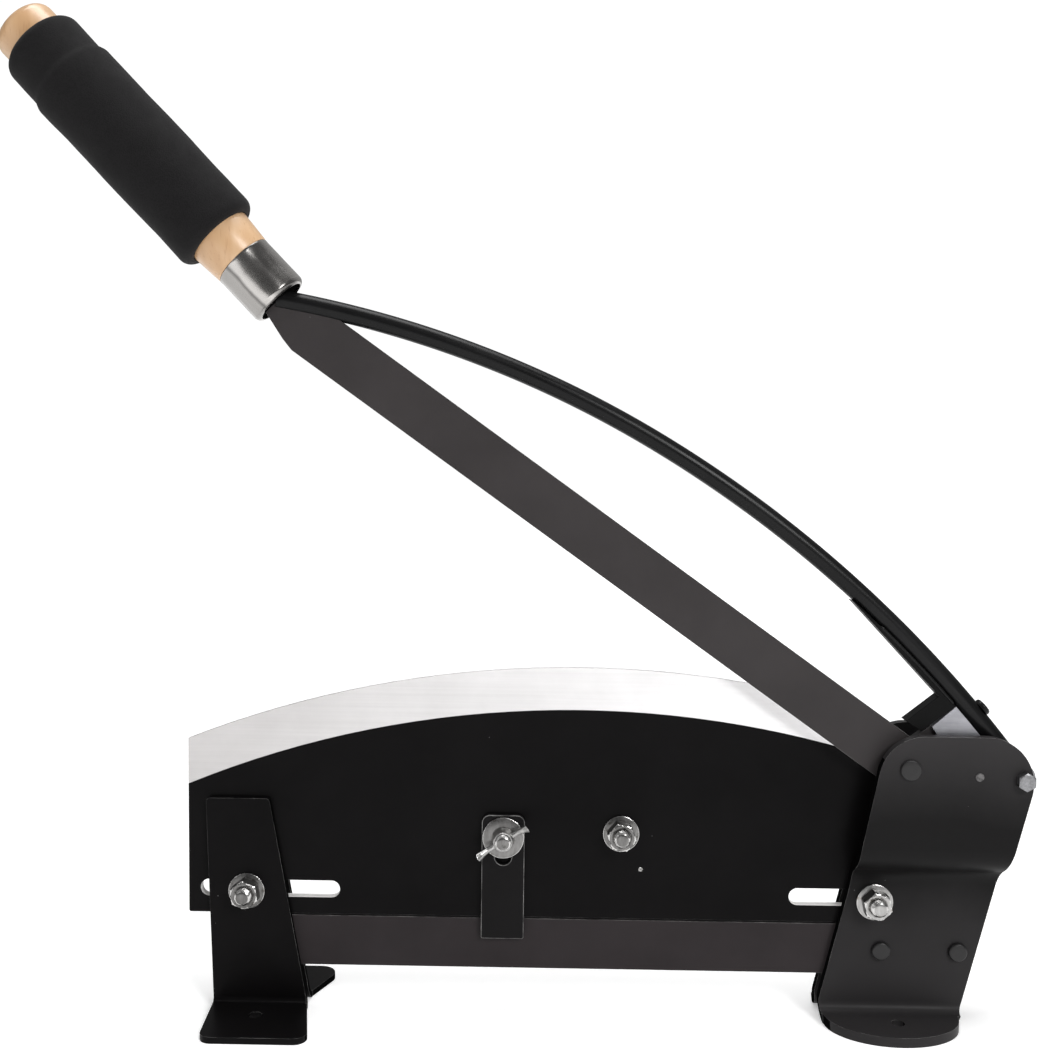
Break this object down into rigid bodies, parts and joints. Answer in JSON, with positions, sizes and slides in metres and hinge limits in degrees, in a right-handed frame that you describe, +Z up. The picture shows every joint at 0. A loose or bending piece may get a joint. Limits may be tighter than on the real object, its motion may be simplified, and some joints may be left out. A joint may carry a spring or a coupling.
{
  "type": "tile cutter",
  "caption": "Lever shear for thin floor tile: a curved lower blade on a footed stand, and a long pivoted arm with a brace rod, wood handle and foam grip.",
  "frame": {"origin": "middle of the four bench-screw holes, on the plane that the feet stand on", "axes": "+Z up; +X from the handle end towards the pivot; -Y towards the user, whose side the arm and nuts are on; y = 0 is the base plate's middle plane"},
  "size_m": [0.5011, 0.0815, 0.4887],
  "materials": {
    "black_paint": "semi-gloss black stoved paint",
    "bar_paint": "satin brown-black paint over mill scale",
    "rod_paint": "gloss black paint",
    "knee_paint": "matt black paint",
    "black_fastener": "painted over with the plates",
    "blade_steel": "ground tool steel",
    "zinc_plate": "bright zinc plate",
    "bare_steel": "bare machined steel",
    "bronze": "oiled sintered bronze",
    "nickel": "polished nickel",
    "beech": "clear lacquered beech",
    "foam": "closed-cell foam rubber"
  },
  "bodies": {
    "frame": {"base_plate": "black_paint", "lower_blade": "blade_steel", "spine_bar": "bar_paint", "clamp_strap": "black_paint", "bracket_near": "black_paint", "bracket_far": "black_paint", "bracket_rivets": "black_fastener", "bracket_bolt": "zinc_plate", "bracket_washers": "zinc_plate", "bracket_nut": "zinc_plate", "blade_bolt": "zinc_plate", "blade_washer": "zinc_plate", "blade_nut": "zinc_plate", "clamp_bolt": "zinc_plate", "clamp_washer": "zinc_plate", "pivot_pin": "black_fastener", "pivot_spacer": "bare_steel", "thrust_washer": "bare_steel", "wave_washer": "bare_steel", "stop_bolt": "bare_steel", "stop_sleeve": "bare_steel", "stop_nut": "bare_steel", "tie_pin": "black_fastener"},
    "arm": {"arm_bar": "bar_paint", "upper_blade": "blade_steel", "blade_screws": "zinc_plate", "brace_rod": "rod_paint", "knee_gusset": "knee_paint", "pivot_block": "bare_steel", "brace_screw": "black_fastener", "pivot_bush": "bronze", "ferrule": "nickel", "handle_core": "beech", "foam_grip": "foam", "handle_pin": "bare_steel"},
    "stand": {"leg_near": "black_paint", "leg_far": "black_paint", "leg_bolt": "zinc_plate", "leg_washers": "zinc_plate", "leg_nut": "zinc_plate"},
    "clamp_nut": {"wing_nut": "zinc_plate"}
  },
  "joints": [
    {"name": "arm_pivot", "type": "hinge", "parent": "frame", "child": "arm", "pos_m": [0.1596, 0, 0.1295], "axis": [0, -1, 0], "range_deg": [0, 34]},
    {"name": "stand_slide", "type": "slide", "parent": "frame", "child": "stand", "axis": [1, 0, 0], "range_m": [-0.0193, 0.0409]},
    {"name": "wing_nut_turn", "type": "hinge", "parent": "frame", "child": "clamp_nut", "pos_m": [-0.0366, -0.01, 0.0892], "axis": [0, -1, 0], "continuous": true}
  ]
}
